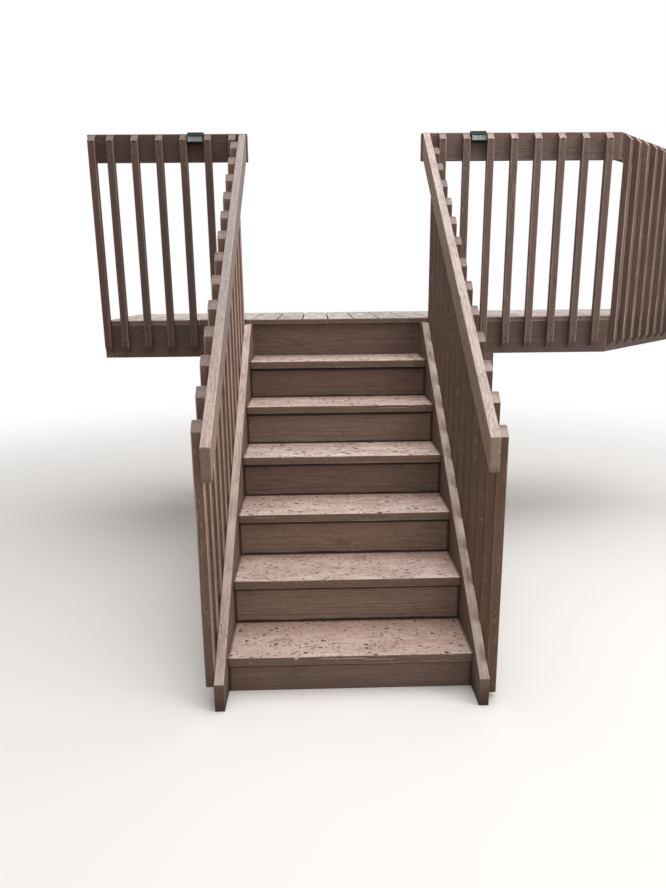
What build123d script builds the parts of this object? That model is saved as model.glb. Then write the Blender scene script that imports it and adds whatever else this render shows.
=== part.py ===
from build123d import *
import math
import os

# Wooden deck stairs: a flight of six plank treads between two stringers, a sloping guard
# on each side, and the front strip of the deck that the flight climbs to.
# Millimetres. X runs across the flight, Y climbs towards the deck and Z is up.
# The origin is the middle of the bottom riser's foot, on the ground.

# Sawn lumber
plank = 38                 # thickness of stringers, rims, joists and rails
baluster_size = 38         # square section of every baluster
post_size = 89             # square section of every post
edge_radius = 4            # eased long edges of nosings, stringers, rails and deck boards
baluster_bevel = 3         # bevel along a baluster's edges

# Flight
tread_count = 6
first_rise = 160           # ground to the first tread
rise = 198                 # tread to tread
run = 260                  # riser face to riser face
clear_width = 956          # between the stringers
tread_thickness = 38
tread_overhang = 26        # nosing in front of its riser
riser_thickness = 25
tread_gap = 4              # back edge of a tread clear of the riser behind it
stringer_depth = 286
nose_height = 112          # plumb nose at the foot of a stringer
head_cut = 110             # level cut at the head of a stringer
foot_reach = 105           # foot of the stringers in front of the first nosing
cleat_size = 38            # square section of the cleats under the treads
cleat_gap = 2              # cleat's ends clear of the risers

# Sloping guards
stair_rail_depth = 100     # square to the slope
left_rail_reach = 120      # foot of the left rail in front of the first nosing
right_rail_reach = 100
stair_pitch = 128          # baluster to baluster, level
lowest_reach = 41          # lowest baluster's middle in front of the first nosing
baluster_lap = 180         # balusters down the stringer's outer face
left_ground_gap = 75       # lowest left baluster above the ground
right_ground_gap = 25
left_tip = 17              # left balusters' tips above the rail
right_tip = -17            # right balusters' tips below the rail

# Deck
deck_board_width = 140
deck_board_thickness = 25
deck_board_gap = 6
board_seam = -47           # place across the flight of one seam between deck boards
rim_depth = 184
joist_spacing = 406
bay_count = 2
house_reach = 1326         # flight's middle to the wall of the house
corner_reach = 1567        # flight's middle to the corner of the deck
corner_turn = 45           # degrees that the guard turns at the corner
beam_depth = 184
left_beam_reach = 606      # wall of the house to the middle of the left doubled beam
right_beam_reach = 687     # corner of the deck to the middle of the right one
deck_post_setback = 100    # deck post's middle from the front or back of the strip

# Level guards
guard_height = 984         # above the deck boards
guard_rail_depth = 140
panel_pitch = 130
rail_end_reach = 6         # level rails' ends past the inner faces of the sloping rails
left_panel_start = 73      # sloping rail's inner face to the first baluster's middle
right_panel_start = 105
angled_panel_start = 62    # corner to the first baluster's middle
baluster_foot = 181        # deck's top down to a baluster's tip
wall_baluster_gap = 8      # last baluster clear of the house

# Rail lights, one on each side between two balusters
light_bay = 1.5            # pitches past the first baluster
light_gap = 2              # clear of the balusters beside it
light_height = 58
light_depth = 40
light_proud = 8            # above the rail
light_roof_drop = 22       # fall of the roof over its depth
light_wall = 5
lens_step = 4              # lens behind the edge of its housing

# Places that follow from the sizes
inner = clear_width / 2
outer = inner + plank
first_face = -riser_thickness / 2
first_nosing = first_face - tread_overhang
foot_front = first_nosing - foot_reach
front = first_face + tread_count * run
depth = joist_spacing * bay_count + plank
back = front + depth
rim_bottom = first_rise + rise * (tread_count - 1)
joist_top = rim_bottom + rim_depth
deck_top = joist_top + deck_board_thickness
guard_top = deck_top + guard_height
slope = (joist_top - nose_height) / (front - head_cut - foot_front)
slope_cos = 1 / math.hypot(1, slope)
turn = math.radians(corner_turn)
turned_run = depth / math.tan(turn)
right_end = corner_reach + turned_run
turned_length = depth / math.sin(turn)
light_width = panel_pitch - baluster_size - 2 * light_gap


def save(name, *pieces):
    shapes = []
    for piece in pieces:
        shapes.extend(piece.solids())
    shape = shapes[0] if len(shapes) == 1 else Compound(children=shapes)
    shape.label = name
    export_step(shape, f"parts/{name}.step")


def block(x0, x1, y0, y1, z0, z1):
    corner = Pos(min(x0, x1), min(y0, y1), z0)
    low = (Align.MIN, Align.MIN, Align.MIN)
    return corner * Box(abs(x1 - x0), abs(y1 - y0), z1 - z0, align=low)


def side_cut(points, x0, x1):
    # a board sawn to an outline seen from the side, as thick as x0 to x1
    outline = Plane.YZ.offset(x0) * Polyline(*points, close=True)
    return extrude(make_face(outline), amount=x1 - x0)


def plan_cut(points, z0, z1):
    # a board sawn to an outline seen from above
    outline = Plane.XY.offset(z0) * Polyline(*points, close=True)
    return extrude(make_face(outline), amount=z1 - z0)


def stringer_edge(y):
    return nose_height + slope * (y - foot_front)


def rail_edge(y):
    return guard_top - slope * (front - y)


def ease(board, direction):
    # the long edges of a board rounded over
    edges = board.edges().filter_by(Axis((0, 0, 0), direction))
    return fillet(edges, edge_radius)


def bevel(baluster):
    return chamfer(baluster.edges().filter_by(Axis.Z), baluster_bevel)


def tread(number):
    top = first_rise + rise * number
    nosing = first_nosing + run * number
    far = first_face + run * (number + 1) - tread_gap
    step = block(-inner, inner, nosing, far, top - tread_thickness, top)
    nosing_edges = step.edges().filter_by(Axis.X).group_by(Axis.Y)[0]
    return fillet(nosing_edges, edge_radius)


def riser(number):
    # a riser stands up to its tread and passes behind the back edge of the tread below
    face = first_face + run * number
    under = first_rise + rise * number - tread_thickness
    foot = 0 if number == 0 else under - rise
    return block(-inner, inner, face, face + riser_thickness, foot, under)


def cleat(number, side):
    under = first_rise + rise * number - tread_thickness
    start = first_face + run * number + riser_thickness + cleat_gap
    end = first_face + run * (number + 1) - cleat_gap
    return block(side * (inner - cleat_size), side * inner, start, end, under - cleat_size, under)


def stringer(side):
    # plumb nose, level foot, plumb cut against the rim and level cut under the boards
    drop = stringer_depth / slope_cos
    heel = foot_front + (drop - nose_height) / slope
    outline = [
        (foot_front, 0),
        (heel, 0),
        (front, stringer_edge(front) - drop),
        (front, joist_top),
        (front - head_cut, joist_top),
        (foot_front, nose_height),
    ]
    board = side_cut(outline, min(side * inner, side * outer), max(side * inner, side * outer))
    return ease(board, (0, 1, slope))


def stair_rail(side, reach):
    drop = stair_rail_depth / slope_cos
    foot = first_nosing - reach
    outline = [
        (foot, rail_edge(foot) - drop),
        (front, guard_top - drop),
        (front, guard_top),
        (foot, rail_edge(foot)),
    ]
    board = side_cut(outline, min(side * inner, side * outer), max(side * inner, side * outer))
    return ease(board, (0, 1, slope))


def stair_balusters(side, tip, ground_gap):
    pieces = []
    middle = first_nosing - lowest_reach
    near = min(side * outer, side * (outer + baluster_size))
    while middle + baluster_size / 2 < front - baluster_size:
        downhill = middle - baluster_size / 2
        uphill = middle + baluster_size / 2
        head = rail_edge(middle) + tip
        foot = max(ground_gap, stringer_edge(middle) - baluster_lap)
        outline = [(downhill, foot), (uphill, foot), (uphill, head), (downhill, head - baluster_size)]
        pieces.append(bevel(side_cut(outline, near, near + baluster_size)))
        middle += stair_pitch
    return pieces


def row(start, length):
    # middles of the balusters along a rail of this length
    count = 1 + math.floor((length - start - baluster_size / 2) / panel_pitch)
    return [start + panel_pitch * number for number in range(count)]


def panel_balusters(middles, place):
    # balusters in front of a rail that runs along the place's X, bevelled at both ends
    tip = deck_top - baluster_foot
    outline = [
        (-baluster_size, tip + baluster_size),
        (0, tip),
        (0, guard_top),
        (-baluster_size, guard_top - baluster_size),
    ]
    pieces = []
    for middle in middles:
        edge = middle - baluster_size / 2
        pieces.append(place * bevel(side_cut(outline, edge, edge + baluster_size)))
    return pieces


def turned_board(z0, z1):
    # the board along the turned side, mitred at the corner and cut square at the back
    mitre = plank * math.tan(turn / 2)
    outline = [
        (corner_reach, front),
        (right_end, back),
        (right_end - plank / math.sin(turn), back),
        (corner_reach - mitre, front + plank),
    ]
    return plan_cut(outline, z0, z1)


def corner_board(x0, z0, z1):
    # the board along the front, from x0 to the mitre at the corner
    mitre = plank * math.tan(turn / 2)
    outline = [
        (x0, front),
        (corner_reach, front),
        (corner_reach - mitre, front + plank),
        (x0, front + plank),
    ]
    return plan_cut(outline, z0, z1)


def joist(number):
    near = front + joist_spacing * number
    far = near + plank
    inside = corner_reach - plank / math.sin(turn)
    outline = [
        (plank - house_reach, near),
        (inside + (near - front) / math.tan(turn), near),
        (inside + (far - front) / math.tan(turn), far),
        (plank - house_reach, far),
    ]
    return plan_cut(outline, rim_bottom, joist_top)


def deck_outline():
    lip = front - tread_overhang
    outline = [
        (-house_reach, front),
        (-outer, front),
        (-outer, lip),
        (outer, lip),
        (outer, front),
        (corner_reach, front),
        (right_end, back),
        (-house_reach, back),
    ]
    return plan_cut(outline, joist_top, deck_top)


def deck_boards():
    # boards run along Y, ripped where they meet the wall and the turned side
    outline = deck_outline()
    groups = {"left": [], "middle": [], "right": []}
    pitch = deck_board_width + deck_board_gap
    first = math.floor((-house_reach - board_seam) / pitch)
    last = math.ceil((right_end - board_seam) / pitch)
    for number in range(first, last):
        x0 = board_seam + pitch * number + deck_board_gap / 2
        x1 = x0 + deck_board_width
        strip = block(x0, x1, front - 2 * tread_overhang, back + edge_radius, joist_top, deck_top)
        top_edges = strip.edges().filter_by(Axis.Y).group_by(Axis.Z)[-1]
        strip = fillet(top_edges, edge_radius)
        board = outline & strip
        if board is None or not board.solids():
            continue
        group = "middle"
        if x1 < -outer:
            group = "left"
        if x0 > outer:
            group = "right"
        groups[group].append(board)
    return groups


def beam(middle):
    return block(middle - plank, middle + plank, front, back, rim_bottom - beam_depth, rim_bottom)


def deck_post(middle, y):
    half = post_size / 2
    top = rim_bottom - beam_depth
    return block(middle - half, middle + half, y - half, y + half, 0, top)


def light_outline(edge, wall):
    # side view of a rail light under a sloping roof, drawn in by a wall's thickness
    top = guard_top + light_proud - wall
    return [
        (front - wall, top),
        (front - light_depth + edge, top - light_roof_drop),
        (front - light_depth + edge, guard_top + light_proud - light_height + wall),
        (front - wall, guard_top + light_proud - light_height + wall),
    ]


def light_housing(middle):
    half = light_width / 2
    shell = side_cut(light_outline(0, 0), middle - half, middle + half)
    mouth = side_cut(light_outline(-1, light_wall), middle - half + light_wall, middle + half - light_wall)
    return shell - mouth


def light_lens(middle):
    half = light_width / 2 - light_wall
    return side_cut(light_outline(lens_step, light_wall), middle - half, middle + half)


os.makedirs("parts", exist_ok=True)

sides = {"left": -1, "right": 1}
for number in range(tread_count):
    save(f"tread_{number + 1}", tread(number))
    save(f"riser_{number + 1}", riser(number))
for name, side in sides.items():
    save(f"stringer_{name}", stringer(side))
    save(f"tread_cleats_{name}", *[cleat(number, side) for number in range(tread_count)])
save("stair_rail_left", stair_rail(-1, left_rail_reach))
save("stair_rail_right", stair_rail(1, right_rail_reach))
save("stair_balusters_left", *stair_balusters(-1, left_tip, left_ground_gap))
save("stair_balusters_right", *stair_balusters(1, right_tip, right_ground_gap))

save("front_rim_joist", corner_board(plank - house_reach, rim_bottom, joist_top))
save("angled_rim_joist", turned_board(rim_bottom, joist_top))
save("inner_joists", *[joist(number) for number in range(1, bay_count + 1)])
save("house_ledger", block(-house_reach, plank - house_reach, front, back, rim_bottom, joist_top))
for name, boards in deck_boards().items():
    save(f"deck_boards_{name}", *boards)

left_beam = left_beam_reach - house_reach
right_beam = corner_reach - right_beam_reach
for name, middle in (("left", left_beam), ("right", right_beam)):
    save(f"beam_{name}", beam(middle))
    save(f"deck_post_{name}_front", deck_post(middle, front + deck_post_setback))
    save(f"deck_post_{name}_back", deck_post(middle, back - deck_post_setback))

rail_foot = guard_top - guard_rail_depth
rail_end = inner - rail_end_reach
left_rail = block(-house_reach, -rail_end, front, front + plank, rail_foot, guard_top)
save("guard_rail_left", ease(left_rail, (1, 0, 0)))
save("guard_rail_right", ease(corner_board(rail_end, rail_foot, guard_top), (1, 0, 0)))
turned_way = (math.cos(turn), math.sin(turn), 0)
save("guard_rail_angled", ease(turned_board(rail_foot, guard_top), turned_way))

front_place = Location((0, front, 0))
turned_place = Location((corner_reach, front, 0), (0, 0, corner_turn))
wall_row = row(left_panel_start, house_reach - inner)
wall_row.append(house_reach - inner - wall_baluster_gap - baluster_size / 2)
left_row = [-inner - middle for middle in wall_row]
right_row = [inner + middle for middle in row(right_panel_start, corner_reach - inner)]
angled_row = row(angled_panel_start, turned_length)
save("guard_balusters_left", *panel_balusters(left_row, front_place))
save("guard_balusters_right", *panel_balusters(right_row, front_place))
save("guard_balusters_angled", *panel_balusters(angled_row, turned_place))

left_light = -inner - left_panel_start - light_bay * panel_pitch
right_light = inner + right_panel_start + light_bay * panel_pitch
for name, middle in (("left", left_light), ("right", right_light)):
    save(f"rail_light_{name}", light_housing(middle))
    save(f"rail_lens_{name}", light_lens(middle))
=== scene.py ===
import bpy
import bmesh
import math
import random
from functools import partial
from mathutils import Matrix, Vector, noise


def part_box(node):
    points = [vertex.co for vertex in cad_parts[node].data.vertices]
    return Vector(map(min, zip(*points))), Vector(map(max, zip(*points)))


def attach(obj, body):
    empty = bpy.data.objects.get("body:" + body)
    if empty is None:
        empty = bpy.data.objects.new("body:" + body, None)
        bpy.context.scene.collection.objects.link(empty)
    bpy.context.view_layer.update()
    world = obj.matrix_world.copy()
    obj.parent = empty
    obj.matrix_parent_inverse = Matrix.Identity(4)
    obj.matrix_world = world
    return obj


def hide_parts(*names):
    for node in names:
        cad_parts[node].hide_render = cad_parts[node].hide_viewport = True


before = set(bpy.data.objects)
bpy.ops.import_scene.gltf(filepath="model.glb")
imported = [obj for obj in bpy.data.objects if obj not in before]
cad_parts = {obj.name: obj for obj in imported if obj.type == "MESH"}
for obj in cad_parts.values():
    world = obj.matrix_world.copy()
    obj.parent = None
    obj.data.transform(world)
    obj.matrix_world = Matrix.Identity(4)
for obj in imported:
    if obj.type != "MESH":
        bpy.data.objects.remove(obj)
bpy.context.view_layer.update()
print("frame loaded with", len(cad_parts), "nodes")

cameraSetup = {
    "place": (-0.1137, -2.3707, 1.5648),
    "yaw": 0.0226,
    "pitch": 0.2369,
    "roll": -0.0100,
    "lens": 27.27,           # millimetres
    "sensor": 36,            # millimetres along the longer side of the frame
}


def addCamera(setup):
    data = bpy.data.cameras.new("photoCamera")
    data.sensor_width = setup["sensor"]
    data.lens = setup["lens"]
    camera = bpy.data.objects.new("photoCamera", data)
    turn = Matrix.Rotation(-setup["yaw"], 4, "Z")
    tip = Matrix.Rotation(math.pi / 2 - setup["pitch"], 4, "X")
    roll = Matrix.Rotation(setup["roll"], 4, "Z")
    camera.matrix_world = Matrix.Translation(setup["place"]) @ turn @ tip @ roll
    bpy.context.collection.objects.link(camera)
    bpy.context.scene.camera = camera


addCamera(cameraSetup)


# Materials

# Node settings that recur; out is the output that is used. A mix takes its share at input 0, and
# its two colours at inputs 6 and 7 or its two numbers at 2 and 3.
smooth = {"interpolation_type": "SMOOTHSTEP"}
plus = {"operation": "ADD"}
minus = {"operation": "SUBTRACT"}
times = {"operation": "MULTIPLY"}
timesPlus = {"operation": "MULTIPLY_ADD"}
larger = {"operation": "MAXIMUM"}
smaller = {"operation": "MINIMUM"}
colourMix = {"data_type": "RGBA", "out": 2}


def tint(code):
    # an sRGB hex colour as the linear colour that the shaders take
    shares = [int(code[start:start + 2], 16) / 255 for start in (1, 3, 5)]
    return (*[c / 12.92 if c <= 0.04045 else ((c + 0.055) / 1.055) ** 2.4 for c in shares], 1)


def addNode(tree, kind, inputs=(), out=0, **settings):
    # inputs are values or other nodes' outputs, in order or by name or number
    node = tree.nodes.new("ShaderNode" + kind)
    for name, value in settings.items():
        setattr(node, name, value)
    for name, value in inputs.items() if isinstance(inputs, dict) else enumerate(inputs):
        if isinstance(value, bpy.types.NodeSocket):
            tree.links.new(value, node.inputs[name])
        else:
            node.inputs[name].default_value = value
    return node.outputs[out] if node.outputs else None


def newMaterial(name):
    material = bpy.data.materials.new(name)
    material.use_nodes = True
    material.node_tree.nodes.clear()
    return material, partial(addNode, material.node_tree)


# the noise that wood is drawn with: how long, wide and deep one cloud of it is on the board, in
# millimetres, and its detail
woodNoise = {
    "waver": (520, 90, 90, 2.0),
    "fibre": (70, 3.2, 3.2, 3.0),
    "streak": (260, 11, 11, 2.0),
    "patch": (150, 60, 60, 3.0),
    "mottle": (34, 9, 9, 3.0),
    "spread": (170, 90, 90, 2.0),
    "bend": (20, 9, 9, 2.0),
    "tear": (9, 4, 4, 2.0),
    "fleck": (26, 6, 6, 2.0),
    "grit": (9, 5, 5, 2.0),
    "smudge": (15, 70, 15, 2.0),
    "crack": (330, 17, 17, 1.0),
}


def stainedWood(name, finish):
    # Softwood lumber, planed at the mill and brushed with semi-solid stain: matt, with the
    # grain still showing, paler where rain and sun reach it and bare where it is trodden.
    # Light and shade are painted in too: painted light on faces that look to the open side, and
    # painted shade in corners, under nosings and on boards that stand in shade.
    # boardPlace is metres from the board's middle: along, across and through it.
    material, put = newMaterial(name)
    colour = {key: tint(value) for key, value in finish.items() if isinstance(value, str)}

    def cover(coat, mask, share, look):
        # lays a look over the coat, this much of it where the mask is full
        shown = put("Math", (mask, share), **times)
        return put("Mix", {0: shown, 6: coat, 7: look}, **colourMix)

    place = put("Attribute", out="Vector", attribute_name="boardPlace")
    half = put("Attribute", out="Vector", attribute_name="boardHalf")
    tone = put("Attribute", out="Fac", attribute_name="boardTone")
    depthAndShade = put("Attribute", out="Fac", attribute_name="boardDepthAndShade")
    splitShade = put("Attribute", out="Fac", attribute_name="boardSplitShade")
    ownPlace = put("VectorMath", (tone, (31.0, 7.0, 3.0), place), **timesPlus)
    ways = put("SeparateXYZ", (put("NewGeometry", out="Normal"),)).node.outputs
    weathered = put("MapRange", (ways["Z"], 0.25, 0.85), **smooth)
    # painted light: how much a face looks to the open side, towards +x
    litSideMask = put("MapRange", (ways["X"], 0.3, 0.9), **smooth)
    cloud = {}
    for key, (*size, detail) in woodNoise.items():
        cells = put("VectorMath", (ownPlace, [1000 / edge for edge in size]), **times)
        cloud[key] = put("TexNoise", {"Vector": cells, "Scale": 1.0, "Detail": detail})

    # knots: a few cells along the board, each with a small round middle
    cells = put("VectorMath", (ownPlace, [1000 / edge for edge in finish["knotCell"]]), **times)
    knotInputs = {"Vector": cells, "Scale": 1.0}
    knot = put("TexVoronoi", knotInputs, voronoi_dimensions="2D").node.outputs
    kept = put("MapRange", (put("SeparateColor", (knot["Color"],)), 0.58, 0.6), **smooth)
    core = put("MapRange", (knot["Distance"], 0.10, 0.055), **smooth)
    knotCore = put("Math", (core, kept), **times)
    swirl = put("MapRange", (knot["Distance"], 0.34, 0.05), **smooth)
    knotSwirl = put("Math", (swirl, kept), **times)

    # growth rings of the plain-sawn board, pushed aside round the knots
    waver = put("Math", (cloud["waver"], 0.05), **times)
    push = put("Math", (knotSwirl, 0.028, waver), **timesPlus)
    heart = put("Math", (tone, 0.09, -0.045), **timesPlus)
    apart = put("SeparateXYZ", (place,)).node.outputs
    ringY = put("Math", (put("Math", (apart[1], heart), **minus), push), **plus)
    ringZ = put("Math", (apart[2], 0.055), **plus)
    ringInputs = {
        "Vector": put("CombineXYZ", {"Y": ringY, "Z": ringZ}),
        "Scale": math.pi / (10 * finish["ringWidth"] / 1000),
        "Distortion": 0.0,
    }
    rings = put("TexWave", ringInputs, out="Fac", wave_type="RINGS", rings_direction="X")
    ringShare = put("Math", (rings, 0.16), **times)
    fibreShare = put("Math", (cloud["fibre"], 0.50), **times)
    streakShare = put("Math", (cloud["streak"], 0.40), **times)
    grain = put("Math", (put("Math", (ringShare, fibreShare), **plus), streakShare), **plus)

    # the coat: stain, its darker streaks and the board's own tone
    grainLight = put("MapRange", (grain, 0.40, 0.70), **smooth)
    coat = put("Mix", {0: grainLight, 6: colour["stainDark"], 7: colour["stain"]}, **colourMix)
    warm = put("MapRange", (tone, 0.0, 1.0), **smooth)
    coat = cover(coat, warm, finish["toneSpread"], colour["stainWarm"])
    darkPatch = put("MapRange", (cloud["patch"], 0.45, 0.75), **smooth)
    coat = cover(coat, darkPatch, 0.35, colour["stainDark"])
    # painted light on the faces that look to the open side
    litSide = put("Mix", {0: grainLight, 6: colour["litSideDark"], 7: colour["litSide"]}, **colourMix)
    coat = cover(coat, litSideMask, finish["litSideShow"], litSide)

    # weathered tops: faded along a finer grain, and bare in patches
    grainShare = put("Math", (grain, 0.55), **times)
    topGrain = put("Math", (cloud["mottle"], 0.45, grainShare), **timesPlus)
    topLight = put("MapRange", (topGrain, 0.40, 0.66), **smooth)
    topLook = put("Mix", {0: topLight, 6: colour["fadedDark"], 7: colour["faded"]}, **colourMix)
    barePatch = put("MapRange", (cloud["patch"], 0.42, 0.68), **smooth)
    topLook = put("Mix", {0: barePatch, 6: topLook, 7: colour["bare"]}, **colourMix)
    coat = cover(coat, weathered, finish["fade"], topLook)

    # arrises: the second smallest distance to the board's sides is the way to its nearest arris
    size = put("VectorMath", (place,), operation="ABSOLUTE")
    inset = put("SeparateXYZ", (put("VectorMath", (half, size), **minus),)).node.outputs
    pairs = [put("Math", (inset[a], inset[b]), **larger) for a, b in ((0, 1), (1, 2), (0, 2))]
    arris = put("Math", (put("Math", pairs[:2], **smaller), pairs[2]), **smaller)
    ragged = put("Math", (cloud["fibre"], 0.004, arris), **timesPlus)
    ragged = put("Math", (cloud["streak"], 0.008, ragged), **timesPlus)
    worn = put("MapRange", (ragged, finish["arrisWidth"] / 1000 + 0.006, 0.0045), **smooth)
    topWear = finish.get("topArrisWear", finish["arrisWear"])
    wearInputs = (weathered, topWear - finish["arrisWear"], finish["arrisWear"])
    coat = cover(coat, worn, put("Math", wearInputs, **timesPlus), colour["arris"])

    # stain that is left, with painted shade on the same attribute: its depth differs from board to
    # board or along a board, and on the rim, the back of the treads and the right stair balusters
    # it is painted shade
    soakedInputs = {0: weathered, 6: colour["soakedAndShadedSide"], 7: colour["soakedAndShaded"]}
    coat = cover(coat, depthAndShade, finish["depthAndShadeShow"], put("Mix", soakedInputs, **colourMix))

    # flakes: chips of the coat lifted off in clusters, dark inside and with a pale torn lip
    tornPlace = ownPlace
    for key, reach in (("bend", (0.012, 0.010, 0.010)), ("tear", (0.007, 0.005, 0.005))):
        shift = cloud[key].node.outputs["Color"]
        tornPlace = put("VectorMath", (shift, reach, tornPlace), **timesPlus)

    def chips(cell, start, most, soft, vary):
        # the chips in cells of this many millimetres, and how far inside its chip a point is
        cells = put("VectorMath", (tornPlace, (600 / cell, 1000 / cell, 1000 / cell)), **times)
        found = put("TexVoronoi", {"Vector": cells, "Scale": 1.0}).node.outputs
        pick = put("SeparateColor", (found["Color"],)).node.outputs
        chance = put("Math", (pick[0], put("Math", (cloud["spread"], 2.0), **times)), **plus)
        likely = put("MapRange", (chance, start, start + 0.3), **smooth)
        width = put("Math", (pick[1], 0.6 * most, 0.4 * most), **timesPlus)
        inside = put("Math", (put("Math", (likely, width), **times), found["Distance"]), **minus)
        chip = put("MapRange", (inside, -0.02, soft), **smooth)
        strength = put("Math", (pick[2], vary, 1 - vary), **timesPlus)
        return put("Math", (chip, strength), **times), inside

    large, inside = chips(finish["flakeSize"], finish["flakeStart"], 0.42, 0.05, 0.4)
    small = chips(finish["flakeSize"] * 0.55, finish["flakeStart"] - 0.04, 0.44, 0.07, 0.7)[0]
    topOnly = put("Math", (weathered, finish["flakeTop"], finish["flakeSide"]), **timesPlus)
    flaked = put("Math", (put("Math", (large, small), **larger), topOnly), **times)
    rim = put("MapRange", (inside, -0.36, -0.02), **smooth)
    torn = put("MapRange", (cloud["tear"], 0.42, 0.62), **smooth)
    lip = put("Math", (put("Math", (rim, torn), **times), weathered), **times)
    coat = cover(coat, lip, finish["lipShow"], colour["lip"])
    coat = put("Mix", {0: flaked, 6: coat, 7: colour["flake"]}, **colourMix)

    # flecks and grit, and drips and scuffs that run down across the grain
    clustered = put("MapRange", (cloud["spread"], 0.44, 0.60), **smooth)
    fleck = put("MapRange", (cloud["fleck"], 0.60, 0.68), **smooth)
    fleck = put("Math", (fleck, clustered), **times)
    coat = cover(coat, fleck, finish["fleckShow"], colour["arris"])
    grit = put("MapRange", (cloud["grit"], 0.52, 0.78, 0.0, finish["grit"]), **smooth)
    coat = put("Mix", {0: grit, 6: coat, 7: colour["flake"]}, **colourMix)
    smudge = put("MapRange", (cloud["smudge"], 0.58, 0.74), **smooth)
    smudge = put("Math", (smudge, clustered), **times)
    coat = cover(coat, smudge, finish["smudge"], colour["flake"])

    # knots, fine drying cracks, and painted shade inside the splits of a nosing
    coat = cover(coat, knotCore, finish["knotShow"], colour["knot"])
    crackSide = put("Math", (cloud["crack"], 0.5), **minus)
    crackSide = put("Math", (crackSide,), operation="ABSOLUTE")
    crackLine = put("MapRange", (crackSide, 0.012, 0.003), **smooth)
    crackSpread = put("MapRange", (cloud["spread"], 0.52, 0.62), **smooth)
    offEnds = put("MapRange", (inset[0], 0.02, 0.06), **smooth)
    crackMask = put("Math", (crackSpread, offEnds), **times)
    crack = put("Math", (crackLine, crackMask), **times)
    coat = cover(coat, crack, finish["crackShow"], colour["knot"])
    coat = put("Mix", {0: splitShade, 6: coat, 7: colour["knot"]}, **colourMix)

    # dirt thrown up near the ground, and dirt with painted shade at the ends, the back edge and
    # the foot of a board
    overGround = put("SeparateXYZ", (put("TexCoord", out="Object"),)).node.outputs[2]
    splash = put("Math", (cloud["patch"], -0.08, overGround), **timesPlus)
    dirtAndShade = put("MapRange", (splash, 0.06, -0.03, 0.0, finish["splash"]), **smooth)
    halfWidth = put("SeparateXYZ", (half,)).node.outputs[1]
    fromBack = put("Math", (halfWidth, apart[1]), **minus)
    fromFoot = put("Math", (halfWidth, apart[1]), **plus)
    # the way from where it is held, what frays it and how much, and where it starts and is full
    held = (
        ("end", inset[0], cloud["streak"], 0.5, 1.0, 0.2),
        ("back", fromBack, cloud["patch"], 0.3, 1.0, 0.5),
        ("foot", fromFoot, cloud["patch"], 0.3, 0.85, 0.78),
    )
    for edge, away, fray, frayed, start, full in held:
        reach = finish[edge + "Reach"] / 1000
        away = put("Math", (fray, -frayed * reach, away), **timesPlus)
        near = put("MapRange", (away, start * reach, full * reach), **smooth)
        shown = put("Math", (near, finish[edge + "Dirt"]), **times)
        dirtAndShade = put("Math", (dirtAndShade, shown), **larger)
    coat = put("Mix", {0: dirtAndShade, 6: coat, 7: colour["dirtAndShade"]}, **colourMix)

    # relief in metres: raised grain, sunken cracks and the step down into each flake
    height = put("Math", (grain, 0.0006), **times)
    for part, rise in ((crack, -0.0012), (flaked, -0.0007), (knotCore, 0.0004)):
        height = put("Math", (part, rise, height), **timesPlus)
    relief = put("Bump", {"Strength": finish["relief"], "Distance": 1.0, "Height": height})
    gloss = put("Math", (grain, -0.12, finish["roughness"]), use_clamp=True, **timesPlus)
    shading = {"Base Color": coat, "Roughness": gloss, "Normal": relief, "IOR": 1.48}
    put("OutputMaterial", {"Surface": put("BsdfPrincipled", shading)})
    return material


brushedStain = {
    "stain": "#7d6658",
    "stainWarm": "#7a5e4f",
    "stainDark": "#665146",
    "faded": "#bba59a",
    "fadedDark": "#978278",
    "bare": "#c2aba0",
    "fade": 0.95,
    "litSide": "#b4947f",     # painted light on faces that look to the open side, away from the house
    "litSideDark": "#9c7d69",
    "litSideShow": 0.0,
    "toneSpread": 0.45,
    "ringWidth": 7.0,        # millimetres between growth rings
    "arris": "#c2a899",
    "arrisWidth": 4.5,
    "arrisWear": 0.8,        # a finish may give topArrisWear too, for arrises that look up
    "flake": "#553a30",
    "flakeSize": 24.0,       # millimetres from chip to chip
    "flakeStart": 1.70,
    "flakeTop": 0.30,
    "flakeSide": 0.10,
    "lip": "#c8aea2",
    "lipShow": 0.3,
    "fleckShow": 0.12,
    "grit": 0.22,
    "depthAndShadeShow": 0.30,       # how much of the stain depth, with its painted shade, shows
    "soakedAndShaded": "#3d2c26",     # a weathered top where the depth attribute is full: deep stain, and painted shade on shaded boards
    "soakedAndShadedSide": "#3d2c26",
    "knot": "#3d2c26",
    "knotCell": (420, 150, 5000),                            # millimetres, with one knot at most
    "knotShow": 0.25,
    "crackShow": 0.45,
    # the colour of dirt, and of the painted shade at ends, back edges and feet
    "dirtAndShade": "#3e3027",
    "endDirt": 0.35,
    "endReach": 12.0,
    "backDirt": 0.0,         # painted shade with dirt along a tread's back edge and under a riser's head
    "backReach": 11.0,
    "footDirt": 0.0,         # painted shade with dirt along a riser's foot, over the 38 mm that the tread hides
    "footReach": 46.0,
    "smudge": 0.0,
    "splash": 0.75,          # how much of the dirt thrown up by rain stays near the ground
    "relief": 0.8,
    "roughness": 0.86,
}

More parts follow.
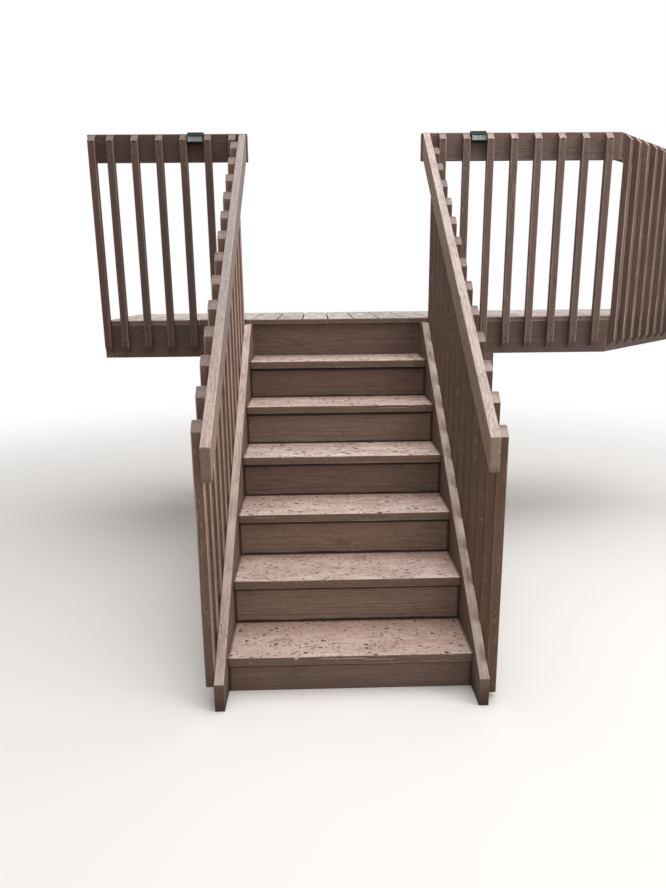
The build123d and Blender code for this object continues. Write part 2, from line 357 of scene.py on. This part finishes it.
treadStain = brushedStain | {
    "stain": "#735c4c", "stainWarm": "#705646", "stainDark": "#5f4a3f",
    "faded": "#d8c4ba", "fadedDark": "#ad978d", "bare": "#dfccc3",
    "depthAndShadeShow": 1.0, "soakedAndShaded": "#8a6555", "arris": "#d2bcb0", "arrisWear": 0.9,
    "flake": "#4e2e25", "flakeSize": 18.0, "flakeStart": 1.34, "flakeTop": 0.90, "flakeSide": 0.08,
    "lipShow": 0.75, "grit": 0.5, "crackShow": 0.6, "backDirt": 0.9, "endDirt": 0.85,
}
lowerTread = stainedWood("troddenLowerPlank", treadStain)
upperTread = stainedWood("troddenUpperPlank", treadStain | {
    "flake": "#41241b", "flakeSize": 25.0, "flakeStart": 1.30, "flakeTop": 1.0,
    "lip": "#d2bbb0", "lipShow": 0.9,
})
# risers: the dark band under each nosing is painted shadow with dirt
riserStain = brushedStain | {
    "stain": "#8a7263", "stainWarm": "#866a59", "stainDark": "#705a4d", "knotShow": 0.12,
    "flakeSide": 0.35, "flakeStart": 1.66, "flakeSize": 18.0, "arrisWear": 0.15, "smudge": 0.40,
    "dirtAndShade": "#291d15", "endDirt": 0.9, "backDirt": 1.0, "backReach": 20.0, "splash": 0.35,
    "depthAndShadeShow": 0.45,
}
groundBoard = stainedWood("stainedLowestRiser", riserStain)
stainedBoard = stainedWood("stainedRiserBoard", riserStain | {"footDirt": 1.0})
stainedFraming = stainedWood("stainedFramingLumber", brushedStain)
# the stringers' darker stain is painted shade on their sides
shadedStringerStain = brushedStain | {
    "stain": "#6b5546", "stainWarm": "#684f3f", "stainDark": "#574437",
    "splash": 0.9, "dirtAndShade": "#2b1b10",
}
shadedStringer = stainedWood("shadedStringerPlank", shadedStringerStain)
# the left stringer: painted light on the faces that look to the open side, and paler tops
litAndShadedStringer = stainedWood("litAndShadedStringerPlank", shadedStringerStain | {
    "faded": "#cfb9ae", "fadedDark": "#ab958b", "bare": "#d4bdb2", "litSideShow": 0.25,
})
stainedRim = stainedWood("shadedStainedRim", brushedStain | {
    "stain": "#705b51", "stainWarm": "#6b5348", "stainDark": "#5c4940",
    "arrisWear": 0.3, "depthAndShadeShow": 0.6,
})
railStain = brushedStain | {
    "stain": "#9f8774", "stainWarm": "#9b7e6a", "stainDark": "#836c5b",
    "faded": "#daccc5", "fadedDark": "#ae9d94", "bare": "#ccbcb6",
    "arris": "#dcc8bc", "flakeTop": 0.2, "fleckShow": 0.2, "crackShow": 0.7,
}
stainedRail = stainedWood("stainedRailLumber", railStain)
# the left stair rail: painted light on the faces that look to the open side, and greyer uphill
litSideRail = stainedWood("litSideRailLumber", railStain | {
    "stain": "#766455", "stainWarm": "#735d4d", "stainDark": "#614f42",
    "faded": "#baa69c", "fadedDark": "#947f75", "bare": "#af9a90",
    "litSideShow": 0.95, "litSide": "#9e887a", "litSideDark": "#877063",
    "soakedAndShaded": "#717074", "soakedAndShadedSide": "#786f70", "depthAndShadeShow": 0.5,
})
guardRail = stainedWood("stainedLevelRail", brushedStain | {
    "stain": "#614e45", "stainWarm": "#5e473c", "stainDark": "#513f36", "fleckShow": 0.2,
})
# painted shade: the left guard's rail is darker and less faded, in the shade of the house
houseShadedRail = stainedWood("houseShadedStainedRail", brushedStain | {
    "stain": "#402e28", "stainWarm": "#402b25", "stainDark": "#352520",
    "fade": 0.6, "arrisWear": 0.35, "fleckShow": 0.06,
})
balusterStain = brushedStain | {
    "stain": "#645045", "stainWarm": "#62493d", "stainDark": "#524037",
    "faded": "#b39d92", "fadedDark": "#948076", "bare": "#b8a59b",
    "arrisWidth": 5.5, "arrisWear": 0.95, "ringWidth": 5.0, "fleckShow": 0.20, "flakeSize": 14.0,
}
# the left stair balusters: painted light on the faces that look to the open side
stairBaluster = stainedWood("stainedStairBaluster", balusterStain | {
    "stain": "#6b5546", "stainWarm": "#674d3d", "stainDark": "#523c30",
    "faded": "#7f7069", "fadedDark": "#665852", "bare": "#83736d",
    "arris": "#d6b8a6", "arrisWidth": 6.0, "topArrisWear": 0.2, "litSideShow": 0.55, "depthAndShadeShow": 0.5,
})
shadedBaluster = stainedWood("shadedStairBaluster", balusterStain | {
    "stain": "#5e4431", "stainWarm": "#5a3f2c", "stainDark": "#493422",
    "arrisWear": 0.25, "depthAndShadeShow": 0.42,
})
stainedBaluster = stainedWood("stainedBalusterStick", balusterStain)
# painted shade: the left guard's balusters are darker and less faded, in the shade of the house
houseShadedBaluster = stainedWood("houseShadedBalusterStick", balusterStain | {
    "stain": "#503930", "stainWarm": "#50352b", "stainDark": "#443029",
    "faded": "#8e7c73", "fadedDark": "#75655d", "bare": "#92837b",
    "fade": 0.7, "arrisWear": 0.4, "fleckShow": 0.1,
})
bleachedDeck = stainedWood("bleachedDeckBoard", brushedStain | {
    "faded": "#ccbfb7", "fadedDark": "#a4978e", "bare": "#d8cdc7", "fade": 1.0,
    "lip": "#d4c8c1", "arris": "#d2c6bf", "endDirt": 0.1,
})
print("wood finishes mixed")


# Boards

sawnLumber = {
    "weld": 0.00005,
    "flatWithin": math.radians(1),
    "sharpFrom": math.radians(35),
    "cutWithin": 0.00001,
}


def looseBoards(bm):
    # the vertices of each board in the mesh
    waiting = set(bm.verts)
    boards = []
    while waiting:
        edge = [waiting.pop()]
        board = []
        while edge:
            vert = edge.pop()
            board.append(vert)
            for link in vert.link_edges:
                other = link.other_vert(vert)
                if other in waiting:
                    waiting.remove(other)
                    edge.append(other)
        boards.append(board)
    boards.sort(key=lambda board: tuple(round(value, 4) for value in boardMiddle(board)))
    return boards


def boardMiddle(board):
    return sum((vert.co for vert in board), Vector()) / len(board)


def boardAxes(board):
    # the grain runs along the longest edge, and the board is thin along its widest face's normal
    edges = {edge for vert in board for edge in vert.link_edges}
    faces = {face for vert in board for face in vert.link_faces}
    longest = max(edges, key=lambda edge: edge.calc_length())
    widest = max(faces, key=lambda face: face.calc_area())
    # each axis points up, back or to the right, so that like boards are marked alike
    along = (longest.verts[1].co - longest.verts[0].co).normalized()
    if along.dot(Vector((1, 1, 1))) < 0:
        along.negate()
    through = widest.normal - widest.normal.dot(along) * along
    through.normalize()
    across = through.cross(along).normalized()
    if across.dot(Vector((0.1, 1, 1))) < 0:
        across.negate()
        through.negate()
    return along, across, through


def sawnCopy(node):
    # a copy of the CAD boards with their loose triangles merged into whole faces
    bm = bmesh.new()
    bm.from_mesh(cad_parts[node].data)
    bmesh.ops.remove_doubles(bm, verts=bm.verts, dist=sawnLumber["weld"])
    flatWithin = sawnLumber["flatWithin"]
    bmesh.ops.dissolve_limit(bm, angle_limit=flatWithin, verts=bm.verts, edges=bm.edges)
    bmesh.ops.recalc_face_normals(bm, faces=bm.faces)
    return bm


def breakArrises(bm, width, segments=2):
    whole = [edge for edge in bm.edges if edge.is_manifold]
    sharp = [edge for edge in whole if edge.calc_face_angle() > sawnLumber["sharpFrom"]]
    bmesh.ops.bevel(bm, geom=sharp, offset=width, offset_type="OFFSET", affect="EDGES",
                    segments=segments, profile=0.5, material=-1, clamp_overlap=True)


def cutAcross(bm, middle, normal):
    parts = bm.verts[:] + bm.edges[:] + bm.faces[:]
    within = sawnLumber["cutWithin"]
    bmesh.ops.bisect_plane(bm, geom=parts, dist=within, plane_co=middle, plane_no=normal)


def markBoards(bm, chance, depthAt=None):
    # each board's own axes, tone and depth of stain, with any painted shade, are written on its
    # vertices
    place = bm.verts.layers.float_vector.new("boardPlace")
    half = bm.verts.layers.float_vector.new("boardHalf")
    tone = bm.verts.layers.float.new("boardTone")
    depthAndShade = bm.verts.layers.float.new("boardDepthAndShade")
    for board in looseBoards(bm):
        axes = boardAxes(board)
        lows = [min(vert.co.dot(axis) for vert in board) for axis in axes]
        highs = [max(vert.co.dot(axis) for vert in board) for axis in axes]
        middles = [(low + high) / 2 for low, high in zip(lows, highs)]
        reach = Vector([(high - low) / 2 for low, high in zip(lows, highs)])
        mark = chance.random()
        soakedAndShaded = chance.random()
        for vert in board:
            vert[depthAndShade] = depthAt(vert.co) if depthAt else soakedAndShaded
            offsets = [vert.co.dot(axis) - middle for axis, middle in zip(axes, middles)]
            vert[place] = Vector(offsets)
            vert[half] = reach
            vert[tone] = mark


def addPiece(bm, name, finish):
    mesh = bpy.data.meshes.new(name)
    bm.to_mesh(mesh)
    bm.free()
    piece = bpy.data.objects.new(name, mesh)
    bpy.context.collection.objects.link(piece)
    mesh.materials.append(finish)
    return piece


def finishPiece(bm, name, finish, node=None):
    piece = addPiece(bm, name, finish)
    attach(piece, "root")
    if node:
        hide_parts(node)


def dressBoards(node, finish, arris, depthAt=None, cuts=()):
    bm = sawnCopy(node)
    breakArrises(bm, arris)
    for x in cuts:
        cutAcross(bm, (x, 0, 0), (1, 0, 0))
    markBoards(bm, random.Random(node), depthAt)
    finishPiece(bm, "dressed_" + node, finish, node)


def ramp(value, start, end):
    return min(1, max(0, (value - start) / (end - start)))


def darkerTowardsFeet(place):
    return ramp(place.z, framing["darkerBelow"], 0)


def rimShade(place):
    # painted shade: the rim is lighter where it serves as the top riser, darker behind the guards
    # on both sides, and darkest towards the house
    most = framing["houseShade"] if place.x < 0 else 1
    return most * ramp(abs(place.x), framing["lightTo"], framing["darkFrom"])


framing = {
    "planks": [
        "inner_joists", "house_ledger", "beam_left", "beam_right",
        "tread_cleats_left", "tread_cleats_right",
        "deck_post_left_front", "deck_post_left_back",
        "deck_post_right_front", "deck_post_right_back",
    ],
    "stringers": {           # each stringer's finish and how it darkens along its height
        "stringer_left": (litAndShadedStringer, darkerTowardsFeet),
        "stringer_right": (shadedStringer, None),
    },
    "darkerBelow": 0.9,           # what stands left of the flight darkens from this height down
    "rims": ["front_rim_joist", "angled_rim_joist"],
    "arris": 0.002,
    "lightTo": 0.48,         # the rim is light up to here on both sides and dark from darkFrom on
    "darkFrom": 0.54,
    "houseShade": 1.25,
}
for node in framing["planks"]:
    dressBoards(node, stainedFraming, framing["arris"])
for node, (finish, depthAt) in framing["stringers"].items():
    dressBoards(node, finish, framing["arris"], depthAt)
rimCuts = [side * framing[key] for side in (-1, 1) for key in ("lightTo", "darkFrom")]
for node in framing["rims"]:
    dressBoards(node, stainedRim, framing["arris"], rimShade, sorted(rimCuts))
print("framing dressed")

risers = {
    "arris": 0.002,
    # how much darker each riser is made, from the ground up
    "depth": (1.0, 0.02, 0.17, 0.85, 0.20, 1.0),
}
for number, depth in enumerate(risers["depth"], 1):
    finish = groundBoard if number == 1 else stainedBoard
    dressBoards(f"riser_{number}", finish, risers["arris"], lambda place: depth)
print("risers dressed")


# Treads: planks with an eased nosing, dented and split where feet land

treads = {
    "arris": 0.0015,
    # how much stain is left at the nosing and at the back edge of each, from the ground up; the
    # darkening towards the back edge is painted shade with dirt
    "depth": ((0.33, 0.75), (0.18, 0.68), (0.08, 0.80), (0.0, 0.46), (0.10, 0.68), (0.08, 0.70)),
    "lower": 2,              # how many treads have the finer chips of the lower flight
    "strip": 0.014,          # how far back from the nosing the wear reaches
    "stripCuts": (1, 0.45),  # shares of the strip at which it is cut
    "drops": (0.007, 0.010, 0.013, 0.016, 0.019, 0.024),     # cuts below the tread's top
    "wornTo": 0.026,
    "cutEvery": 0.011,
    "endMargin": 0.005,
    "wave": 0.0016,
    "waveLift": 0.6,         # keeps the nosing worn between its dents too
    "dent": 0.0035,
    "dentFrom": 0.22,        # how rough the noise has to be for a dent
    "chipCurve": 0.6,        # under 1, so that a chip is steep at its rim
    "bumps": ((22, 7.3, 0.5), (75, 3.1, 4.5)),               # per metre, step per tread, place
    "push": (0, 0.75, -0.65),
    # place across the flight, width and depth of each larger chip out of a nosing
    "chips": {
        1: [(-0.209, 0.030, 0.010), (0.135, 0.016, 0.004)],
        2: [(-0.330, 0.014, 0.004)],
        3: [(0.210, 0.018, 0.004)],
        4: [(-0.120, 0.014, 0.003)],
        5: [(0.060, 0.016, 0.004)],
        6: [(-0.020, 0.012, 0.003)],
    },
    # start, end, drop below the tread's top and depth of each split along a nosing
    "splits": {
        1: [(-0.13, 0.075, 0.010, 0.0035), (0.02, 0.19, 0.016, 0.0025)],
        3: [(-0.42, -0.29, 0.012, 0.0025)],
        5: [(0.18, 0.36, 0.013, 0.0025)],
    },
    "splitBack": 0.002,      # a split opens in points this near the nosing and its drop
    "splitWithin": 0.0012,
    "splitTaper": 0.03,
    # painted shade inside a split
    "splitDark": 0.8,
}


def treadDepthAndShade(number):
    front, back = treads["depth"][number - 1]
    low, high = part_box(f"tread_{number}")
    return lambda place: front + (back - front) * (place.y - low.y) / (high.y - low.y)


def wearNosing(bm, number, low, high):
    nosing, top = low.y, high.z
    strip, dentFrom = treads["strip"], treads["dentFrom"]
    splitShade = bm.verts.layers.float.new("boardSplitShade")
    for share in treads["stripCuts"]:
        cutAcross(bm, (0, nosing + strip * share, 0), (0, 1, 0))
    for drop in treads["drops"]:
        cutAcross(bm, (0, 0, top - drop), (0, 0, 1))
    x = low.x + treads["cutEvery"]
    while x < high.x - treads["endMargin"]:
        cutAcross(bm, (x, 0, 0), (1, 0, 0))
        x += treads["cutEvery"] * (0.75 + 0.5 * noise.random())
    for vert in bm.verts:
        back = vert.co.y - nosing
        down = top - vert.co.z
        if back > strip - 0.0001 or down > treads["wornTo"]:
            continue
        x = vert.co.x
        edge = max(0, 1 - (back + down) / strip)
        bumps = [noise.noise((x * count, number * step, at)) for count, step, at in treads["bumps"]]
        rough = sum(bumps) / 2
        depth = treads["wave"] * (treads["waveLift"] + rough)
        depth += treads["dent"] * max(0, rough - dentFrom) * 2
        for middle, width, chip in treads["chips"].get(number, []):
            depth += chip * max(0, 1 - abs(x - middle) / width * 2) ** treads["chipCurve"]
        shift = Vector(treads["push"]) * max(0, depth) * edge
        for start, end, drop, split in treads["splits"].get(number, []):
            inside = ramp(min(x - start, end - x), 0, treads["splitTaper"])
            if back < treads["splitBack"] and abs(down - drop) < treads["splitWithin"]:
                shift.y += split * inside
                vert[splitShade] = treads["splitDark"] * min(1, inside * 2)
        vert.co += shift


noise.seed_set(11)
for number in range(1, 7):
    node = f"tread_{number}"
    bm = sawnCopy(node)
    breakArrises(bm, treads["arris"])
    markBoards(bm, random.Random(node), treadDepthAndShade(number))
    wearNosing(bm, number, *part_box(node))
    finish = lowerTread if number <= treads["lower"] else upperTread
    finishPiece(bm, "dressed_" + node, finish, node)
print("treads dressed")


# Rails: planks on edge, their sawn ends rounded over by weather

def greyUphill(place):
    return ramp(place.y, rails["paleTo"], rails["greyFrom"])


rails = {
    "finishes": {            # each rail's finish and how its look changes along it
        "stair_rail_left": (litSideRail, greyUphill),
        "stair_rail_right": (stainedRail, None),
        "guard_rail_left": (houseShadedRail, None),
        "guard_rail_right": (guardRail, None),
        "guard_rail_angled": (guardRail, None),
    },
    "paleTo": -0.10,         # the left sloping rail is pale up to here and grey from greyFrom up
    "greyFrom": 0.45,
    "arris": 0.006,
}
for node, (finish, depthAt) in rails["finishes"].items():
    bm = sawnCopy(node)
    breakArrises(bm, rails["arris"], 3)
    if depthAt:
        for y in (rails["paleTo"], rails["greyFrom"]):
            cutAcross(bm, (0, y, 0), (0, 1, 0))
    markBoards(bm, random.Random(node), depthAt)
    finishPiece(bm, "dressed_" + node, finish, node)
print("rails dressed")


# Balusters: square sticks, each with its own tone, and the heads of the screws that hold them

def shadeUphill(place):
    return ramp(place.y, balusters["paleTo"], balusters["darkFrom"])


balusters = {
    "arris": 0.0016,
    "rows": {                # each row's finish, which way its outer faces look, and how it darkens along its height
        "stair_balusters_left": (stairBaluster, (-1, 0, 0), darkerTowardsFeet),
        "stair_balusters_right": (shadedBaluster, (1, 0, 0), shadeUphill),
        "guard_balusters_left": (houseShadedBaluster, (0, -1, 0), None),
        "guard_balusters_right": (stainedBaluster, (0, -1, 0), None),
        "guard_balusters_angled": (stainedBaluster, (math.sqrt(0.5), -math.sqrt(0.5), 0), None),
    },
    "paleTo": -0.02,         # the right row is pale up to here and dark from darkFrom up
    "darkFrom": 0.36,
    "fromTop": (0.042, 0.116),
    "fromFoot": (0.062, 0.132),
    "offLine": 0.005,
    "offHeight": 0.004,
}
screw = {
    "width": 0.0095,
    "taper": 0.0006,
    "depth": 0.002,
    "proud": 0.0007,
    "sides": 10,
    "insets": (0.24, 0.03),  # shares of the width
    "recess": 0.0005,
    "colours": ("#0e0a08", "#231a16"),
}


def screwHead(bm, place, facing):
    # a countersunk head, a hair proud of the wood, with its drive hole pushed in
    start = len(bm.verts)
    turn = Vector((0, 0, 1)).rotation_difference(Vector(facing)).to_matrix().to_4x4()
    where = Matrix.Translation(place) @ turn
    radius = screw["width"] / 2
    made = bmesh.ops.create_cone(bm, cap_ends=True, segments=screw["sides"], radius1=radius,
                                 radius2=radius - screw["taper"], depth=screw["depth"])
    faces = {face for vert in made["verts"] for face in vert.link_faces}
    top = max(faces, key=lambda face: face.calc_center_median().z)
    for share in screw["insets"]:
        bmesh.ops.inset_region(bm, faces=[top], thickness=screw["width"] * share, depth=0)
    bmesh.ops.translate(bm, verts=top.verts, vec=(0, 0, -screw["recess"]))
    bm.verts.ensure_lookup_table()
    verts = bm.verts[start:]
    bmesh.ops.translate(bm, verts=verts, vec=(0, 0, screw["proud"] - screw["depth"] / 2))
    bmesh.ops.transform(bm, matrix=where, verts=verts)


def weatheredScrew():
    # zinc-plated steel screw heads, gone dark and half filled with stain
    material, put = newMaterial("weatheredScrewHead")
    place = put("TexCoord", out="Object")
    cloud = put("TexNoise", {"Vector": place, "Scale": 420.0, "Detail": 2.0})
    dark, pale = [tint(code) for code in screw["colours"]]
    colour = put("Mix", {0: cloud, 6: dark, 7: pale}, **colourMix)
    shader = put("BsdfPrincipled", {"Base Color": colour, "Roughness": 0.8})
    put("OutputMaterial", {"Surface": shader})
    return material


def astray(most):
    # no screw is driven quite where it was meant
    return chance.uniform(-most, most)


screws = bmesh.new()
chance = random.Random(5)
for node, (finish, way, depthAt) in balusters["rows"].items():
    bm = sawnCopy(node)
    facing = Vector(way)
    for board in looseBoards(bm):
        top = max(vert.co.z for vert in board)
        foot = min(vert.co.z for vert in board)
        middle = boardMiddle(board)
        out = max(vert.co.dot(facing) for vert in board)
        middle += facing * (out - middle.dot(facing))
        if node.startswith("stair"):
            # the slanting top has drawn the mean off the middle of the stick
            across = [vert.co.y for vert in board]
            middle.y = (min(across) + max(across)) / 2
        side = facing.cross(Vector((0, 0, 1)))
        heights = [top - drop for drop in balusters["fromTop"]]
        heights += [foot + rise for rise in balusters["fromFoot"]]
        for height in heights:
            place = middle + side * astray(balusters["offLine"])
            place.z = height + astray(balusters["offHeight"])
            screwHead(screws, place, facing)
    breakArrises(bm, balusters["arris"])
    markBoards(bm, random.Random(node), depthAt)
    finishPiece(bm, "dressed_" + node, finish, node)
print("balusters dressed")


# Deck boards: bleached boards laid front to back, screwed to each joist

deck = {
    "nodes": ["deck_boards_left", "deck_boards_middle", "deck_boards_right"],
    "arris": 0.0015,
    "screwLines": (0.019, 0.425, 0.831),     # joist middles behind the rim's face
    "screwInset": 0.028,
    "narrowest": 0.05,       # between the screws of a board that is screwed
    "turnMargin": 0.1,       # from the screws to the line of the angled rim
    "offAcross": 0.003,
    "offAlong": 0.004,
}
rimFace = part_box("front_rim_joist")[0].y
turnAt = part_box("guard_rail_right")[1].x
for node in deck["nodes"]:
    bm = sawnCopy(node)
    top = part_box(node)[1].z
    for board in looseBoards(bm):
        low = min(vert.co.x for vert in board) + deck["screwInset"]
        high = max(vert.co.x for vert in board) - deck["screwInset"]
        if high - low < deck["narrowest"]:
            continue
        for line in deck["screwLines"]:
            for x in (low, high):
                if x < turnAt + line - deck["turnMargin"]:
                    across, along = astray(deck["offAcross"]), astray(deck["offAlong"])
                    screwHead(screws, (x + across, rimFace + line + along, top), (0, 0, 1))
    breakArrises(bm, deck["arris"])
    markBoards(bm, random.Random(node))
    finishPiece(bm, "dressed_" + node, bleachedDeck, node)
print("deck boards dressed")


# Screws through the stringers into the treads, and through the rim into the joists behind it

sideScrews = {
    "along": (0.045, 0.130, 0.215),
    "down": 0.019,
    "rimInset": 0.032,       # from a stringer's inner face
    "rimDrops": (0.030, 0.060, 0.092),
    "offTread": 0.006,
    "offRim": 0.005,
}
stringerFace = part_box("stringer_right")[1].x
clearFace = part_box("stringer_right")[0].x
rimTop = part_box("front_rim_joist")[1].z
for side in (-1, 1):
    for number in range(1, 7):
        low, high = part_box(f"tread_{number}")
        for back in sideScrews["along"]:
            y = low.y + back + astray(sideScrews["offTread"])
            screwHead(screws, (stringerFace * side, y, high.z - sideScrews["down"]), (side, 0, 0))
    for drop in sideScrews["rimDrops"]:
        x = (clearFace - sideScrews["rimInset"]) * side + astray(sideScrews["offRim"])
        screwHead(screws, (x, rimFace, rimTop - drop), (0, -1, 0))
print("screws driven:", len(screws.faces), "faces")
finishPiece(screws, "screw_heads", weatheredScrew())


# Rail lights: a dark moulded housing with a solar cell on its roof and a ribbed lens

light = {
    "housing": ("#0e1213", "#23292a"),
    "lens": ("#667170", "#87918f"),
    "cell": ("#0a1013", "#202b2f"),
    "lineEvery": 0.006,
    "arris": 0.0016,
    "ribEvery": 0.0052,
    "ribDepth": 0.0011,
    "ribFace": 0.004,        # how far behind the lens's front the ribs reach
    "ribMargin": 0.001,
    "ribWithin": 0.0001,
    "cellInset": 0.006,
    "cellRise": 0.0006,
    "cellThickness": 0.002,
    "cellArris": 0.0004,
    "roofDrop": 0.022,       # from the back of the roof to its front
}


def mouldedPlastic():
    # injection-moulded polypropylene, gone satin and dusty outdoors
    material, put = newMaterial("mouldedDarkPlastic")
    place = put("TexCoord", out="Object")
    dust = put("TexNoise", {"Vector": place, "Scale": 90.0, "Detail": 4.0})
    dark, pale = [tint(code) for code in light["housing"]]
    colour = put("Mix", {0: put("MapRange", (dust, 0.45, 0.8)), 6: dark, 7: pale}, **colourMix)
    pebble = put("TexNoise", {"Vector": place, "Scale": 1400.0, "Detail": 1.0})
    shading = {
        "Base Color": colour,
        "Roughness": put("MapRange", {0: dust, 3: 0.42, 4: 0.7}),
        "Normal": put("Bump", {"Strength": 0.4, "Distance": 0.0004, "Height": pebble}),
        "IOR": 1.35,
    }
    put("OutputMaterial", {"Surface": put("BsdfPrincipled", shading)})
    return material


def frostedLens():
    # ribbed polycarbonate, cloudy from weather
    material, put = newMaterial("frostedRibbedLens")
    place = put("TexCoord", out="Object")
    cloud = put("TexNoise", {"Vector": place, "Scale": 60.0, "Detail": 3.0})
    dark, pale = [tint(code) for code in light["lens"]]
    shading = {
        "Base Color": put("Mix", {0: cloud, 6: dark, 7: pale}, **colourMix),
        "Roughness": 0.28,
        "IOR": 1.58,
        "Subsurface Weight": 0.25,
        "Subsurface Scale": 0.004,
    }
    put("OutputMaterial", {"Surface": put("BsdfPrincipled", shading)})
    return material


def solarCell():
    # dark silicon under resin gone dull, ruled by fine collector lines
    material, put = newMaterial("solarCellUnderResin")
    place = put("TexCoord", out="Object")
    lineInputs = {"Vector": place, "Scale": math.pi / (10 * light["lineEvery"]), "Distortion": 0.0}
    lines = put("TexWave", lineInputs, out="Fac", wave_type="BANDS", bands_direction="X")
    thin = put("MapRange", (lines, 0.93, 0.99))
    dark, pale = [tint(code) for code in light["cell"]]
    colour = put("Mix", {0: thin, 6: dark, 7: pale}, **colourMix)
    shader = put("BsdfPrincipled", {"Base Color": colour, "Roughness": 0.55, "IOR": 1.16})
    put("OutputMaterial", {"Surface": shader})
    return material


def ribLens(bm, low, high):
    x = low.x + light["ribEvery"] / 2
    number = 0
    while x < high.x - light["ribMargin"]:
        cutAcross(bm, (x, 0, 0), (1, 0, 0))
        for vert in bm.verts:
            onCut = abs(vert.co.x - x) < light["ribWithin"]
            if onCut and vert.co.y < low.y + light["ribFace"] and number % 2:
                vert.co.y += light["ribDepth"]
        x += light["ribEvery"] / 2
        number += 1


def roofCell(side, finish):
    # a thin plate let into the sloping roof of a rail light
    low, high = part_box(f"rail_light_{side}")
    thickness = light["cellThickness"]
    pitch = math.atan2(light["roofDrop"], high.y - low.y)
    width = high.x - low.x - 2 * light["cellInset"]
    depth = (high.y - low.y) / math.cos(pitch) - 2 * light["cellInset"]
    bm = bmesh.new()
    bmesh.ops.create_cube(bm, size=1)
    bmesh.ops.scale(bm, vec=(width, depth, thickness), verts=bm.verts)
    bmesh.ops.bevel(bm, geom=bm.edges[:], offset=light["cellArris"], offset_type="OFFSET",
                    affect="EDGES", segments=2, profile=0.5, material=-1)
    bmesh.ops.rotate(bm, cent=(0, 0, 0), matrix=Matrix.Rotation(pitch, 3, "X"), verts=bm.verts)
    middle = (low + high) / 2
    middle.z = high.z - light["roofDrop"] / 2
    outwards = Vector((0, -math.sin(pitch), math.cos(pitch)))
    lift = outwards * (light["cellRise"] - thickness / 2)
    bmesh.ops.translate(bm, vec=middle + lift, verts=bm.verts)
    finishPiece(bm, f"solar_cell_{side}", finish)


housingFinish = mouldedPlastic()
lensFinish = frostedLens()
cellFinish = solarCell()
for side in ("left", "right"):
    node = f"rail_light_{side}"
    bm = sawnCopy(node)
    breakArrises(bm, light["arris"], 3)
    finishPiece(bm, "dressed_" + node, housingFinish, node)
    node = f"rail_lens_{side}"
    bm = sawnCopy(node)
    ribLens(bm, *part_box(node))
    finishPiece(bm, "dressed_" + node, lensFinish, node)
    roofCell(side, cellFinish)
print("rail lights dressed")


# Floor, light and background

studio = {
    "floor": "#dedad6",
    "floorSize": 24.0,
    "fadeFrom": 2.6,         # the floor turns white for the camera between these distances
    "fadeTo": 7.0,
    "worldLight": 0.42,
    "lamps": {               # place, aim, size and power of each
        "topLamp": ((0.8, 0.2, 6.5), (0, 0.8, 0), 7.0, 400),
        "rightLamp": ((6.0, -2.5, 4.2), (-0.3, 0.6, 1.1), 4.0, 210),
        "frontLamp": ((0.4, -6.5, 3.6), (0, 0.6, 0.9), 4.0, 60),
    },
}


def addFloor(setup):
    bm = bmesh.new()
    bmesh.ops.create_grid(bm, x_segments=1, y_segments=1, size=setup["floorSize"] / 2)
    material, put = newMaterial("paleStudioFloor")
    paint = put("BsdfPrincipled", {"Base Color": tint(setup["floor"]), "Roughness": 0.9})
    away = put("VectorMath", (put("TexCoord", out="Object"),), out="Value", operation="LENGTH")
    share = put("MapRange", (away, setup["fadeFrom"], setup["fadeTo"]), **smooth)
    white = put("Math", (share, put("LightPath", out="Is Camera Ray")), **times)
    glow = put("Emission", {"Color": (1, 1, 1, 1), "Strength": 1.0})
    put("OutputMaterial", {"Surface": put("MixShader", (white, paint, glow))})
    addPiece(bm, "studioFloor", material)


def addLamp(name, place, aim, size, power):
    data = bpy.data.lights.new(name, "AREA")
    data.shape = "DISK"
    data.size = size
    data.energy = power
    lamp = bpy.data.objects.new(name, data)
    lamp.location = place
    lamp.rotation_euler = (Vector(aim) - Vector(place)).to_track_quat("-Z", "Y").to_euler()
    bpy.context.collection.objects.link(lamp)


def addWorld(setup):
    # plain soft light, and white where the camera or a gloss sees past the object
    world = bpy.data.worlds.new("studioWorld")
    bpy.context.scene.world = world
    world.use_nodes = True
    world.node_tree.nodes.clear()
    put = partial(addNode, world.node_tree)
    path = put("LightPath").node.outputs
    seen = path["Is Camera Ray"]
    for name in ("Is Glossy Ray", "Is Transmission Ray"):
        seen = put("Math", (seen, path[name]), **larger)
    strength = put("Mix", {0: seen, 2: setup["worldLight"], 3: 1.0}, data_type="FLOAT")
    glow = put("Background", {"Color": (1, 1, 1, 1), "Strength": strength})
    put("OutputWorld", {"Surface": glow})


addFloor(studio)
for name, setup in studio["lamps"].items():
    addLamp(name, *setup)
addWorld(studio)
bpy.context.scene.view_settings.view_transform = "Standard"
print("studio set")
